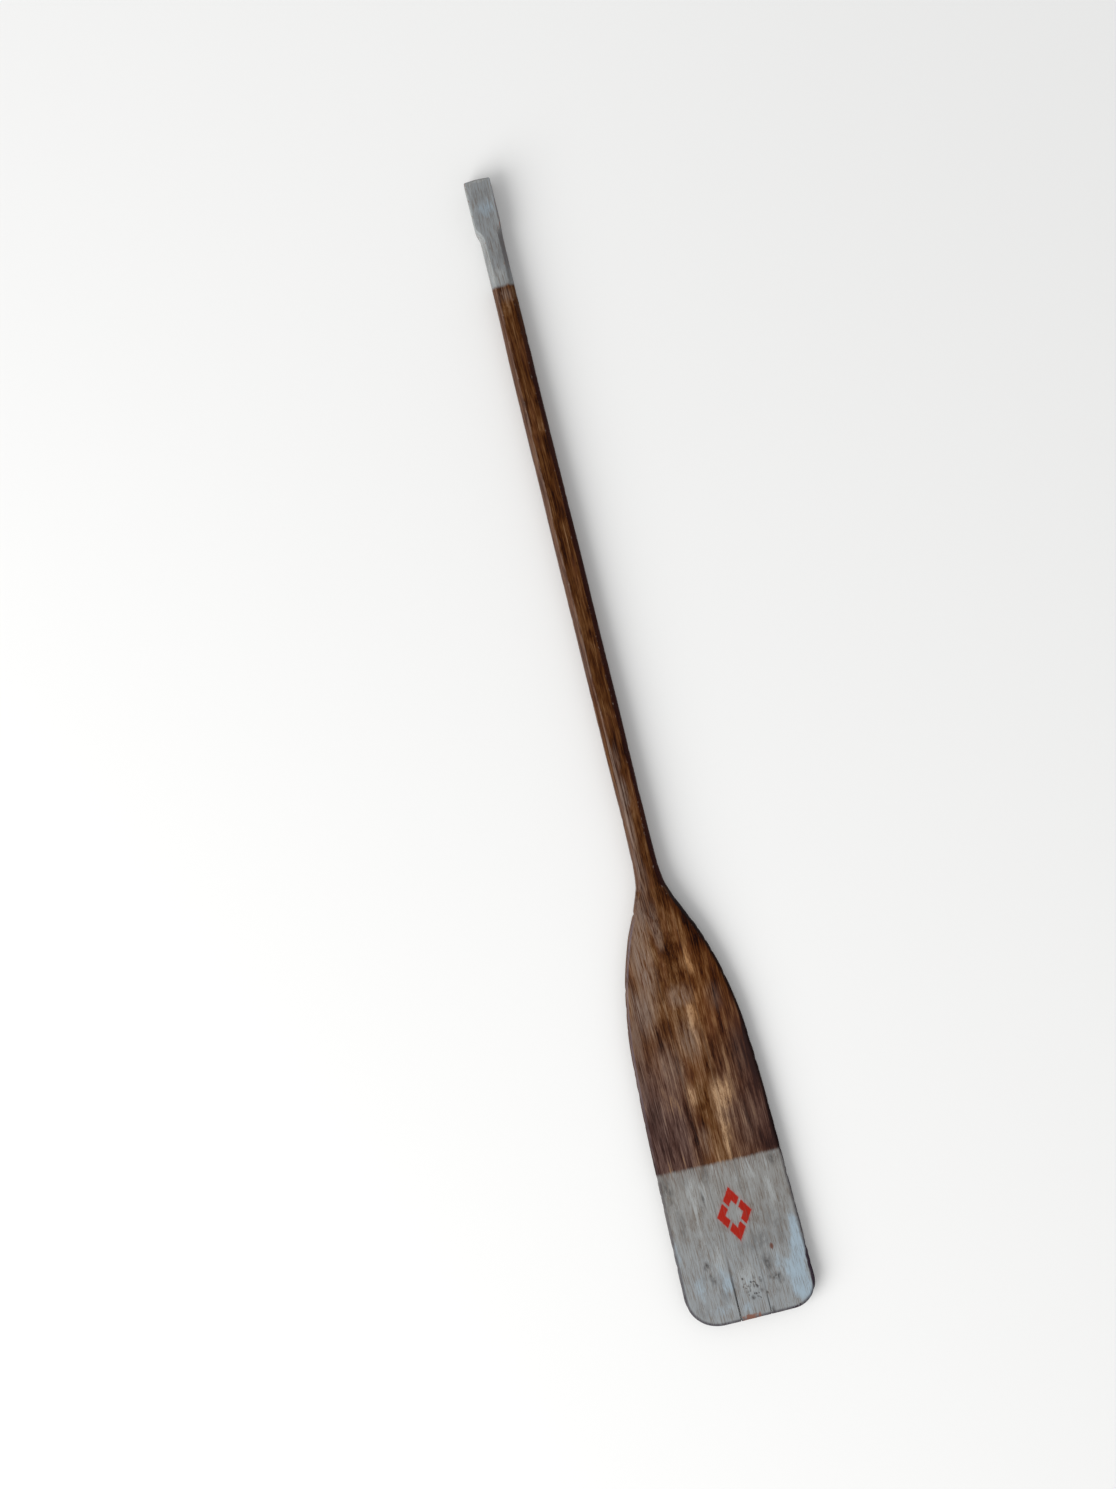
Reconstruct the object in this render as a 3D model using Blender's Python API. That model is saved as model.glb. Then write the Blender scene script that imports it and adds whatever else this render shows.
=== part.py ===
"""A five-foot wooden oar, glued up from three boards and pinned across the blade with dowels.

The oar lies flat on the floor. The grip points to +Y and the blade to -Y, X runs across the blade and Z
is up. The origin is on the floor under the middle of the oar. Distances named "from the grip" are measured
along the oar from the end of the grip.
"""

import math

import bmesh
import bpy
import numpy as np
from mathutils import Matrix, Vector

LENGTH = 1.524
THICKNESS = 0.032
TIP_CORNER_LEFT = 0.043
TIP_CORNER_RIGHT = 0.035
TIP_CHAMFER = 0.0022

STAVE_HALF_WIDTH = 0.0205
BOARD_GAP = 0.0003
STOCK_MARGIN = 0.05
STOCK_REACH_ACROSS = 0.15

DOWEL_RADIUS = 0.003175
DOWEL_LENGTH = 0.090
DOWEL_CHAMFER = 0.0008
DOWEL_GAP = 0.0003
DOWEL_SIDES = 24
DOWELS_FROM_GRIP = (1.062, 1.183, 1.304, 1.425)

# The offsets of the oar, as a boatbuilder lists them: distance from the grip, half width to the left and
# to the right, half thickness on the centre line, half thickness at the edge, and width of the chamfer.
OFFSETS = (
    (0.000, 0.0166, 0.0165, 0.0154, 0.0154, 0.0008),
    (0.001, 0.0172, 0.0171, 0.0160, 0.0160, 0.0008),
    (0.061, 0.0172, 0.0171, 0.0160, 0.0160, 0.0008),
    (0.078, 0.0140, 0.0161, 0.0160, 0.0160, 0.0060),
    (0.150, 0.0143, 0.0157, 0.0160, 0.0160, 0.0060),
    (0.250, 0.0153, 0.0155, 0.0160, 0.0160, 0.0060),
    (0.350, 0.0156, 0.0156, 0.0160, 0.0160, 0.0060),
    (0.520, 0.0159, 0.0159, 0.0160, 0.0160, 0.0062),
    (0.700, 0.0157, 0.0157, 0.0160, 0.0160, 0.0062),
    (0.850, 0.0154, 0.0154, 0.0160, 0.0160, 0.0062),
    (0.912, 0.0160, 0.0160, 0.0160, 0.0158, 0.0062),
    (0.938, 0.0182, 0.0182, 0.0160, 0.0149, 0.0062),
    (0.970, 0.0291, 0.0291, 0.0155, 0.0110, 0.0054),
    (1.011, 0.0470, 0.0470, 0.0136, 0.0072, 0.0038),
    (1.074, 0.0654, 0.0654, 0.0104, 0.0052, 0.0028),
    (1.146, 0.0765, 0.0765, 0.0083, 0.0044, 0.0022),
    (1.229, 0.0809, 0.0809, 0.0072, 0.0041, 0.0022),
    (1.344, 0.0837, 0.0837, 0.0062, 0.0039, 0.0022),
    (1.481, 0.0861, 0.0861, 0.0054, 0.0037, 0.0022),
    (1.524, 0.0863, 0.0863, 0.0052, 0.0036, 0.0022),
)
STRAIGHT_RUN_ENDS = 0.912
BLADE_RING_STEP = 0.014
CORNER_RING_ANGLE = math.radians(11.25)
POINTS_ACROSS = 9
LEAST_EDGE_SHARE = 0.4

WOOD = (0.075, 0.032, 0.014, 1.0)
WING_WOOD = (0.090, 0.043, 0.021, 1.0)
DOWEL_WOOD = (0.42, 0.27, 0.14, 1.0)


def clear_scene():
    for old in list(bpy.data.objects):
        bpy.data.objects.remove(old, do_unlink=True)


def new_collection(name):
    collection = bpy.data.collections.new(name)
    bpy.context.scene.collection.children.link(collection)
    return collection


def wood_material(name, colour, roughness):
    material = bpy.data.materials.new(name)
    material.use_nodes = True
    shader = material.node_tree.nodes["Principled BSDF"]
    shader.inputs["Base Color"].default_value = colour
    shader.inputs["Roughness"].default_value = roughness
    shader.inputs["Metallic"].default_value = 0.0
    return material


def add_object(name, mesh, collection, material=None):
    made = bpy.data.objects.new(name, mesh)
    collection.objects.link(made)
    if material:
        mesh.materials.append(material)
    return made


def make_cutter(cutter):
    cutter.hide_render = True
    cutter.display_type = "WIRE"


def cut(target, cutter, operation):
    boolean = target.modifiers.new(f"{operation.title()} {cutter.name}", "BOOLEAN")
    boolean.operation = operation
    boolean.solver = "EXACT"
    boolean.object = cutter


def y_of(from_grip):
    return LENGTH / 2 - from_grip


def offsets_at(from_grip):
    """The five offsets at this distance: straight runs on the shaft, a smooth curve on the blade."""
    table = np.array(OFFSETS)
    stations, values = table[:, 0], table[:, 1:]
    steps = np.diff(stations)
    secants = np.diff(values, axis=0) / steps[:, None]
    i = int(np.clip(np.searchsorted(stations, from_grip, side="right") - 1, 0, len(steps) - 1))
    t = (from_grip - stations[i]) / steps[i]
    if from_grip <= STRAIGHT_RUN_ENDS:
        return values[i] * (1 - t) + values[i + 1] * t

    def slope(k):
        """The harmonic mean of the two secants, or level where they turn, so the curve never overshoots."""
        before, after = secants[max(k - 1, 0)], secants[min(k, len(secants) - 1)]
        same_way = before * after > 0
        total = np.where(same_way, before + after, 1.0)
        return np.where(same_way, 2 * before * after / total, 0.0)

    return (
        values[i] * (2 * t**3 - 3 * t**2 + 1)
        + values[i + 1] * (3 * t**2 - 2 * t**3)
        + slope(i) * steps[i] * (t**3 - 2 * t**2 + t)
        + slope(i + 1) * steps[i] * (t**3 - t**2)
    )


def corner_inset(from_grip, radius):
    """How far a rounded tip corner pulls the outline in at this distance."""
    into_corner = max(0.0, from_grip - (LENGTH - radius))
    return radius - math.sqrt(max(0.0, radius**2 - into_corner**2))


def section(from_grip):
    """The closed outline of the oar's section, as (x, z) points around the oar's middle plane."""
    left, right, middle, edge, chamfer = offsets_at(from_grip)
    left -= corner_inset(from_grip, TIP_CORNER_LEFT)
    right -= corner_inset(from_grip, TIP_CORNER_RIGHT)
    tip_bevel = max(0.0, from_grip - (LENGTH - TIP_CHAMFER))

    def height(x):
        across = x / (left if x < 0 else right)
        return middle - (middle - edge) * across**2 - tip_bevel

    top = [(x, height(x)) for x in np.linspace(chamfer - left, right - chamfer, POINTS_ACROSS)]
    left_corner = (-left, max(top[0][1] - chamfer, LEAST_EDGE_SHARE * top[0][1]))
    right_corner = (right, max(top[-1][1] - chamfer, LEAST_EDGE_SHARE * top[-1][1]))
    upper = [left_corner, *top, right_corner]
    return upper + [(x, -z) for x, z in reversed(upper)]


def ring_distances():
    """Where the sections stand: at the shaft's stations, then closer, and closest round the corners."""
    found = {row[0] for row in OFFSETS if row[0] <= STRAIGHT_RUN_ENDS}
    corner_starts = LENGTH - TIP_CORNER_LEFT
    steps = round((corner_starts - STRAIGHT_RUN_ENDS) / BLADE_RING_STEP)
    found.update(np.linspace(STRAIGHT_RUN_ENDS, corner_starts, steps + 1))
    for step in range(1, 8):
        found.add(LENGTH - TIP_CORNER_LEFT * (1 - math.sin(step * CORNER_RING_ANGLE)))
    found.add(LENGTH - TIP_CHAMFER)
    found.add(LENGTH)
    ordered = sorted(found)
    return [a for a, b in zip(ordered, ordered[1:] + [math.inf]) if b - a > 1e-6]


def oar_body():
    """The whole oar as one solid, lofted through its sections from the grip end to the tip."""
    shape = bmesh.new()
    rings = []
    for from_grip in ring_distances():
        y = y_of(from_grip)
        points = [Vector((x, y, THICKNESS / 2 + z)) for x, z in section(from_grip)]
        rings.append([shape.verts.new(point) for point in points])
    for ring, following in zip(rings, rings[1:]):
        for k in range(len(ring)):
            after = (k + 1) % len(ring)
            shape.faces.new((ring[k], following[k], following[after], ring[after]))
    shape.faces.new(rings[0])
    shape.faces.new(reversed(rings[-1]))
    mesh = bpy.data.meshes.new("oar_body")
    shape.to_mesh(mesh)
    shape.free()
    return mesh


def box_mesh(name, low, high):
    shape = bmesh.new()
    size = [b - a for a, b in zip(low, high)]
    middle = [(a + b) / 2 for a, b in zip(low, high)]
    placing = Matrix.Translation(middle) @ Matrix.Diagonal((*size, 1.0))
    bmesh.ops.create_cube(shape, size=1.0, matrix=placing)
    mesh = bpy.data.meshes.new(name)
    shape.to_mesh(mesh)
    shape.free()
    return mesh


def cylinder_mesh(name, radius, length, chamfer=0.0):
    """A rod along X about the mesh's origin, with chamfered ends if asked."""
    shape = bmesh.new()
    bmesh.ops.create_cone(
        shape,
        cap_ends=True,
        segments=DOWEL_SIDES,
        radius1=radius,
        radius2=radius,
        depth=length,
        matrix=Matrix.Rotation(math.pi / 2, 4, "Y"),
    )
    if chamfer:
        caps = [face for face in shape.faces if len(face.verts) > 4]
        rims = {edge for face in caps for edge in face.edges}
        bmesh.ops.bevel(shape, geom=list(rims), offset=chamfer, segments=1, affect="EDGES")
    mesh = bpy.data.meshes.new(name)
    shape.to_mesh(mesh)
    shape.free()
    return mesh


def stock_boxes(cutters):
    """The three boards' stock, before the oar is shaped from them."""
    reach = LENGTH / 2 + STOCK_MARGIN
    side = STAVE_HALF_WIDTH + BOARD_GAP
    spans = {
        "centre_stave": (-STAVE_HALF_WIDTH, STAVE_HALF_WIDTH),
        "blade_wing_left": (-STOCK_REACH_ACROSS, -side),
        "blade_wing_right": (side, STOCK_REACH_ACROSS),
    }
    boxes = {}
    for name, (low, high) in spans.items():
        top = THICKNESS + STOCK_MARGIN
        mesh = box_mesh(f"{name}_stock", (low, -reach, -STOCK_MARGIN), (high, reach, top))
        boxes[name] = add_object(f"{name}_stock", mesh, cutters)
        make_cutter(boxes[name])
    return boxes


def dowel_holes(cutters):
    bore = cylinder_mesh("dowel_bore", DOWEL_RADIUS + DOWEL_GAP, DOWEL_LENGTH + 2 * DOWEL_GAP)
    holes = []
    for number, from_grip in enumerate(DOWELS_FROM_GRIP, start=1):
        hole = add_object(f"dowel_bore_{number}", bore, cutters)
        hole.location = (0.0, y_of(from_grip), THICKNESS / 2)
        make_cutter(hole)
        holes.append(hole)
    return holes


def boards(parts, cutters):
    """The stave and the two wings: each is the oar's shape inside its own board, bored for the dowels."""
    body = oar_body()
    holes = dowel_holes(cutters)
    stave_wood = wood_material("stained_stave", WOOD, 0.55)
    wing_wood = wood_material("stained_wing", WING_WOOD, 0.55)
    for name, stock in stock_boxes(cutters).items():
        board = add_object(name, body.copy(), parts, stave_wood if name == "centre_stave" else wing_wood)
        cut(board, stock, "INTERSECT")
        for hole in holes:
            cut(board, hole, "DIFFERENCE")
    bpy.data.meshes.remove(body)


def cross_dowels(parts):
    wood = wood_material("dowel_wood", DOWEL_WOOD, 0.6)
    for number, from_grip in enumerate(DOWELS_FROM_GRIP, start=1):
        name = f"cross_dowel_{number}"
        rod = cylinder_mesh(name, DOWEL_RADIUS, DOWEL_LENGTH, DOWEL_CHAMFER)
        dowel = add_object(name, rod, parts, wood)
        dowel.data.shade_smooth()
        dowel.data.set_sharp_from_angle(angle=math.radians(30))
        dowel.location = (0.0, y_of(from_grip), THICKNESS / 2)


def main():
    clear_scene()
    parts = new_collection("oar")
    cutters = new_collection("cutters")
    boards(parts, cutters)
    cross_dowels(parts)


main()
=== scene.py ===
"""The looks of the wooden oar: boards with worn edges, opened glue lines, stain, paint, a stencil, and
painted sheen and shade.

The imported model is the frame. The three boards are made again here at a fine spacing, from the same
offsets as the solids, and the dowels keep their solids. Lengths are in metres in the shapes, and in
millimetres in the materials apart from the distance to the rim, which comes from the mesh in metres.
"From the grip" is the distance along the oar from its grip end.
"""

import math

import bpy
import numpy as np
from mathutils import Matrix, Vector


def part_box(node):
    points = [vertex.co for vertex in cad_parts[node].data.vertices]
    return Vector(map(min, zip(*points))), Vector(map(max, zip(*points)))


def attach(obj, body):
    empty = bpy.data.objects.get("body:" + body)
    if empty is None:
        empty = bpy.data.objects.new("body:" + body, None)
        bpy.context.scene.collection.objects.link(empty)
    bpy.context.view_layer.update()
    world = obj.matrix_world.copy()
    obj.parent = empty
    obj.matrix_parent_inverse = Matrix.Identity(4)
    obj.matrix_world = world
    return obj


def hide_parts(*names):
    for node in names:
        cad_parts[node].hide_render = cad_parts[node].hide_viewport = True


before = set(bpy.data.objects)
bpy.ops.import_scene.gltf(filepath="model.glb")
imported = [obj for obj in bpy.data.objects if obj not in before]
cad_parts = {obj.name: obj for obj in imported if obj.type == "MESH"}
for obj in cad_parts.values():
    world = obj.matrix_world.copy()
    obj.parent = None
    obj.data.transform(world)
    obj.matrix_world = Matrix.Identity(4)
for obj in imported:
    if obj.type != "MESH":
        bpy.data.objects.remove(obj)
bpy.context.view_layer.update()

STAVE_LOW, STAVE_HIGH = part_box("centre_stave")
LENGTH = STAVE_HIGH.y - STAVE_LOW.y
THICKNESS = STAVE_HIGH.z - STAVE_LOW.z
STAVE_HALF_WIDTH = STAVE_HIGH.x
GRIP_Y = STAVE_HIGH.y
MM = 0.001

# In millimetres: distance from the grip, half width to the left and to the right, half thickness on the
# centre line, half thickness at the edge, and width of the chamfer. The solids are made from the same.
OFFSETS = MM * np.array((
    (0, 16.6, 16.5, 15.4, 15.4, 0.8),
    (1, 17.2, 17.1, 16, 16, 0.8),
    (61, 17.2, 17.1, 16, 16, 0.8),
    (78, 14, 16.1, 16, 16, 6),
    (150, 14.3, 15.7, 16, 16, 6),
    (250, 15.3, 15.5, 16, 16, 6),
    (350, 15.6, 15.6, 16, 16, 6),
    (520, 15.9, 15.9, 16, 16, 6.2),
    (700, 15.7, 15.7, 16, 16, 6.2),
    (850, 15.4, 15.4, 16, 16, 6.2),
    (912, 16, 16, 16, 15.8, 6.2),
    (938, 18.2, 18.2, 16, 14.9, 6.2),
    (970, 29.1, 29.1, 15.5, 11, 5.4),
    (1011, 47, 47, 13.6, 7.2, 3.8),
    (1074, 65.4, 65.4, 10.4, 5.2, 2.8),
    (1146, 76.5, 76.5, 8.3, 4.4, 2.2),
    (1229, 80.9, 80.9, 7.2, 4.1, 2.2),
    (1344, 83.7, 83.7, 6.2, 3.9, 2.2),
    (1481, 86.1, 86.1, 5.4, 3.7, 2.2),
    (1524, 86.3, 86.3, 5.2, 3.6, 2.2),
))
TIP_CORNER_LEFT = 0.043
TIP_CORNER_RIGHT = 0.035
GRIP_BEVEL = 0.001
GRIP_ARRIS = 0.0016
GRIP_DOME = 0.0012
ROUND_FROM, ROUND_TO = 0.95, 1.04

# The spacing of the rings along the oar, and the points round each ring.
SHAFT_STEP = 0.0022
BLADE_STEP = 0.0014
BLADE_FROM = 0.9
CORNER_RINGS = 30
END_RINGS = 6
EDGE_POINTS = 8
WALL_POINTS = 9
WING_START_INSET = 0.0004
STAVE_FACE_POINTS = 34
WING_FACE_POINTS = 50
SHARP_ANGLE = math.radians(50)
# How wide a closed glue line is.
SEAM = 0.02 * MM

# What planing, hands, water and weather have done to the boards.
PLANING = 0.3 * MM
CHAMFER_WANDER = 0.13
BLADE_WEAR_FROM = 0.95
SHAFT_WEAR_FROM = 0.09
SHAFT_HALF_WIDTH = 0.016
PIT_CENTRE = (0.006, 1.484)
PIT_SPREAD = (0.0072, 0.0088)
PIT_COUNT = 30
PIT_DEPTH = 0.45 * MM
TIP_WEAR = 0.35 * MM
JOINT_CLOSING = 0.35

PAINT_GRIP_TO = 0.142
PAINT_TIP_FROM = 1.315
PAINT_EDGE = 0.002
PAINT_THICKNESS = 0.1 * MM


# ---- shape

def smooth_step(low, high, value):
    t = np.clip((value - low) / (high - low), 0.0, 1.0)
    return t * t * (3 - 2 * t)


def bell(value, width):
    return np.exp(-((value / width) ** 2))


def lattice(i, j, seed):
    value = np.sin(i * 127.1 + j * 311.7 + seed * 74.7) * 43758.5453
    return 2 * (value - np.floor(value)) - 1


def noise(a, b, seed):
    """Smooth noise between -1 and 1 over two coordinates, the same each run."""
    i, j = np.floor(a), np.floor(b)
    s, t = a - i, b - j
    s, t = s * s * (3 - 2 * s), t * t * (3 - 2 * t)
    near = lattice(i, j, seed) * (1 - s) + lattice(i + 1, j, seed) * s
    far = lattice(i, j + 1, seed) * (1 - s) + lattice(i + 1, j + 1, seed) * s
    return near * (1 - t) + far * t


def offsets_at(from_grip):
    """The five offsets at these distances, on a smooth curve that never overshoots its stations."""
    stations, values = OFFSETS[:, 0], OFFSETS[:, 1:]
    steps = np.diff(stations)
    secants = np.diff(values, axis=0) / steps[:, None]
    before, after = secants[:-1], secants[1:]
    same_way = before * after > 0
    slopes = np.where(same_way, 2 * before * after / np.where(same_way, before + after, 1.0), 0.0)
    slopes = np.vstack([secants[:1], slopes, secants[-1:]])
    i = np.clip(np.searchsorted(stations, from_grip, side="right") - 1, 0, len(steps) - 1)
    step = steps[i][:, None]
    t = ((from_grip - stations[i]) / steps[i])[:, None]
    return (
        values[i] * (2 * t**3 - 3 * t**2 + 1)
        + values[i + 1] * (3 * t**2 - 2 * t**3)
        + slopes[i] * step * (t**3 - 2 * t**2 + t)
        + slopes[i + 1] * step * (t**3 - t**2)
    )


def ring_distances(start):
    """Close rings round the grip's end, even ones along the oar, and rings that follow the tip's corners."""
    corner_starts = LENGTH - TIP_CORNER_LEFT
    angles = np.linspace(0, math.pi / 2, CORNER_RINGS)
    parts = [LENGTH - TIP_CORNER_LEFT * (1 - np.sin(angles))]
    if start < BLADE_FROM:
        end_angles = np.linspace(0, math.pi / 2, END_RINGS)
        parts.append(GRIP_ARRIS * (1 - np.cos(end_angles)))
        parts.append(np.arange(2 * GRIP_ARRIS, BLADE_FROM, SHAFT_STEP))
        start = BLADE_FROM
    parts.append(np.arange(start, corner_starts - BLADE_STEP / 2, BLADE_STEP))
    return np.sort(np.concatenate(parts))


class Outline:
    """The oar's outline and thickness at each ring, with the waviness that planing by hand leaves."""

    def __init__(self, from_grip):
        self.from_grip = from_grip
        left, right, middle, edge, chamfer = offsets_at(np.maximum(from_grip, GRIP_BEVEL)).T
        wavy = smooth_step(0.0, 0.02, from_grip) * smooth_step(LENGTH, LENGTH - 0.06, from_grip)
        level = 0 * from_grip
        left = left + wavy * PLANING * noise(from_grip / 0.085, level, 1)
        right = right + wavy * PLANING * noise(from_grip / 0.1, level, 2)
        self.chamfer_left = chamfer * (1 + CHAMFER_WANDER * noise(from_grip / 0.06, level, 3))
        self.chamfer_right = chamfer * (1 + CHAMFER_WANDER * noise(from_grip / 0.075, level, 4))
        self.full_left, self.full_right = left, right
        before_arris = np.maximum(0, GRIP_ARRIS - from_grip)
        end = GRIP_ARRIS - np.sqrt(np.maximum(0, GRIP_ARRIS**2 - before_arris**2))
        self.left = left - self.corner_inset(TIP_CORNER_LEFT) - end
        self.right = right - self.corner_inset(TIP_CORNER_RIGHT) - end
        self.middle, self.edge = middle - end, edge - end
        self.roundness = smooth_step(ROUND_FROM, ROUND_TO, from_grip)
        self.flare = 1 / np.sqrt(1 + np.gradient(left, from_grip) ** 2)

    def corner_inset(self, radius):
        into = np.maximum(0, self.from_grip - (LENGTH - radius))
        return radius - np.sqrt(np.maximum(0, radius**2 - into**2))

    def rim(self, x):
        """How far each point (ring by point) lies inside the outline."""
        tip = LENGTH - self.from_grip[:, None]
        sides = ((-1, self.full_left, TIP_CORNER_LEFT), (1, self.full_right, TIP_CORNER_RIGHT))
        rims = []
        for sign, full, radius in sides:
            inside = full[:, None] - sign * x
            side = inside * self.flare[:, None]
            across = np.maximum(0, radius - inside)
            along = np.maximum(0, radius - tip)
            corner = radius - np.hypot(across, along)
            rims.append(np.where((across > 0) & (along > 0), corner, np.minimum(side, tip)))
        return np.maximum(0, np.minimum(*rims))

    def arris(self, x):
        """1 on the arris where a chamfer meets a face, or where a face meets a side, and 0 away from both."""
        chamfer = np.where(x < 0, self.chamfer_left[:, None], self.chamfer_right[:, None])
        rim = self.rim(x)
        crisp = 1 - 0.6 * self.roundness[:, None]
        at_chamfer = bell(rim - chamfer, 0.0009)
        at_side = bell(rim, 0.0007)
        return crisp * np.maximum(at_chamfer, at_side)

    def top(self, x):
        """The height of the upper face over the oar's middle plane."""
        half = np.where(x < 0, self.full_left[:, None], self.full_right[:, None])
        crown = self.middle[:, None] - (self.middle - self.edge)[:, None] * (x / half) ** 2
        chamfer = np.where(x < 0, self.chamfer_left[:, None], self.chamfer_right[:, None])
        depth = np.clip(1 - self.rim(x) / chamfer, 0, 1)
        rounded = 1 - np.sqrt(1 - depth**2)
        roundness = self.roundness[:, None]
        return crown - chamfer * (depth * (1 - roundness) + rounded * roundness)


def glue_line(side, from_grip):
    """Where the stave meets the wing on this side. The left line wanders out and back near the tip."""
    wander = -1.9 * MM * smooth_step(1.26, 1.432, from_grip) * smooth_step(1.545, 1.44, from_grip)
    drift = wander if side < 0 else 0.15 * MM * np.sin(from_grip * 40)
    return side * (STAVE_HALF_WIDTH + drift)


def opening(side, from_grip):
    """How wide the joint on this side has opened at the upper face."""
    if side < 0:
        hairline = 0.35 * MM * smooth_step(1.428, 1.45, from_grip)
        return SEAM + hairline + 0.85 * MM * smooth_step(1.448, 1.53, from_grip)
    hairline = 0.25 * MM * smooth_step(1.44, 1.484, from_grip)
    return SEAM + hairline + 0.65 * MM * smooth_step(1.484, 1.515, from_grip)


def run(start, stop, count):
    """Evenly spaced values from start to stop, a row for each ring."""
    return start[:, None] + (stop - start)[:, None] * np.linspace(0, 1, count)


def board_points(from_grip, low, high, inner_points):
    """The outline, the board's rings as x and z, and how far each of its sides is an outer one."""
    shape = Outline(from_grip)
    left = np.clip(-shape.left, low, high)
    right = np.clip(shape.right, low, high)
    tiny = np.minimum(0.06 * MM, (right - left) / 8)
    face_left = np.clip(shape.chamfer_left - shape.left, left + tiny, right - 2 * tiny)
    face_right = np.clip(shape.right - shape.chamfer_right, face_left + tiny, right - tiny)

    edge_left = run(left, face_left, EDGE_POINTS)
    face = run(face_left, face_right, inner_points)
    edge_right = run(face_right, right, EDGE_POINTS)
    x = np.hstack([edge_left, face[:, 1:], edge_right[:, 1:]])
    z = shape.top(x)
    wall = np.linspace(1, -1, WALL_POINTS + 2)[1:-1]
    right_x, right_z = np.repeat(right[:, None], WALL_POINTS, 1), z[:, -1:] * wall
    left_x, left_z = np.repeat(left[:, None], WALL_POINTS, 1), -z[:, :1] * wall
    xs = np.hstack([x, right_x, x[:, ::-1], left_x])
    zs = np.hstack([z, right_z, -z[:, ::-1], left_z])
    outer_left = smooth_step(0, MM, -shape.left - low + 0.5 * MM)
    outer_right = smooth_step(0, MM, high - shape.right + 0.5 * MM)
    return shape, xs, zs, outer_left, outer_right


def edge_weights(count, outer_left, outer_right):
    """1 on the points round an outer edge, 0 on the faces and round a glued edge."""
    across = (count - 2 * WALL_POINTS) // 2
    left = np.zeros(count)
    left[:EDGE_POINTS] = 1
    left[-WALL_POINTS - EDGE_POINTS:] = 1
    right = np.zeros(count)
    right[across - EDGE_POINTS:across + WALL_POINTS + EDGE_POINTS] = 1
    return outer_left[:, None] * left + outer_right[:, None] * right


def soften(values, weights, passes=3):
    for _ in range(passes):
        average = (np.roll(values, 1, 1) + np.roll(values, -1, 1)) / 2
        values = values + 0.5 * weights * (average - values)
    return values


def normals_of(points):
    along = np.gradient(points, axis=0)
    around = np.roll(points, -1, 1) - np.roll(points, 1, 1)
    normal = np.cross(along, around)
    return normal / np.maximum(np.linalg.norm(normal, axis=2, keepdims=True), 1e-12)


def dents(x, from_grip, facing, seed, count, half_width, start, stop):
    """Small knocks and scars on one face: how deep each point is pushed in."""
    chance = np.random.default_rng(seed)
    depth = np.zeros_like(x)
    for _ in range(count):
        centre_x = chance.uniform(-half_width, half_width)
        centre_d = chance.uniform(start, stop)
        across, along = chance.uniform(0.0012, 0.0035), chance.uniform(0.002, 0.009)
        deep = chance.uniform(0.15, 0.45) * MM
        distance = ((x - centre_x) / across) ** 2 + ((from_grip - centre_d) / along) ** 2
        depth = np.maximum(depth, deep * np.exp(-distance))
    return depth * facing


# The one nick on each side that the photograph shows: distance from the grip, width and depth.
LARGEST_NICKS = {-1: (0.975, 0.0022, 1.0 * MM), 1: (1.447, 0.004, 0.7 * MM)}


def edge_nicks(from_grip, side, seed, count, start, stop):
    """Knocks along one outer edge, as a depth at each ring."""
    chance = np.random.default_rng(seed)
    depth = np.zeros_like(from_grip)
    for _ in range(count):
        centre = chance.uniform(start, stop)
        width = chance.uniform(0.0015, 0.006)
        deep = chance.uniform(0.2, 0.8) * MM
        depth = np.maximum(depth, deep * bell(from_grip - centre, width))
    centre, width, deep = LARGEST_NICKS[side]
    return np.maximum(depth, deep * bell(from_grip - centre, width))


def pits(x, from_grip):
    """The cluster of small pits near the tip: 0 away from them, 1 at a pit's middle."""
    chance = np.random.default_rng(21)
    found = np.zeros_like(x)
    for _ in range(PIT_COUNT):
        centre_x = PIT_CENTRE[0] + chance.normal(0, PIT_SPREAD[0])
        centre_d = PIT_CENTRE[1] + chance.normal(0, PIT_SPREAD[1])
        size = chance.uniform(0.7, 1.5) * MM
        distance = ((x - centre_x) ** 2 + ((from_grip - centre_d) / 1.5) ** 2) / size**2
        found = np.maximum(found, np.exp(-distance) * chance.uniform(0.6, 1.0))
    return found


def nicked(shape, x, rim, weights):
    """How deep the knocks along both outer edges push each point in."""
    depth = np.zeros_like(x)
    for side, seed in ((-1, 5), (1, 6)):
        blade_nicks = edge_nicks(shape.from_grip, side, seed, 26, 0.96, LENGTH)
        shaft_nicks = edge_nicks(shape.from_grip, side, seed + 10, 14, SHAFT_WEAR_FROM, 0.93)
        near = bell(rim, 0.0022) * (np.sign(x) == side) * weights
        depth += (blade_nicks + 0.5 * shaft_nicks)[:, None] * near
    return depth


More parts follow.
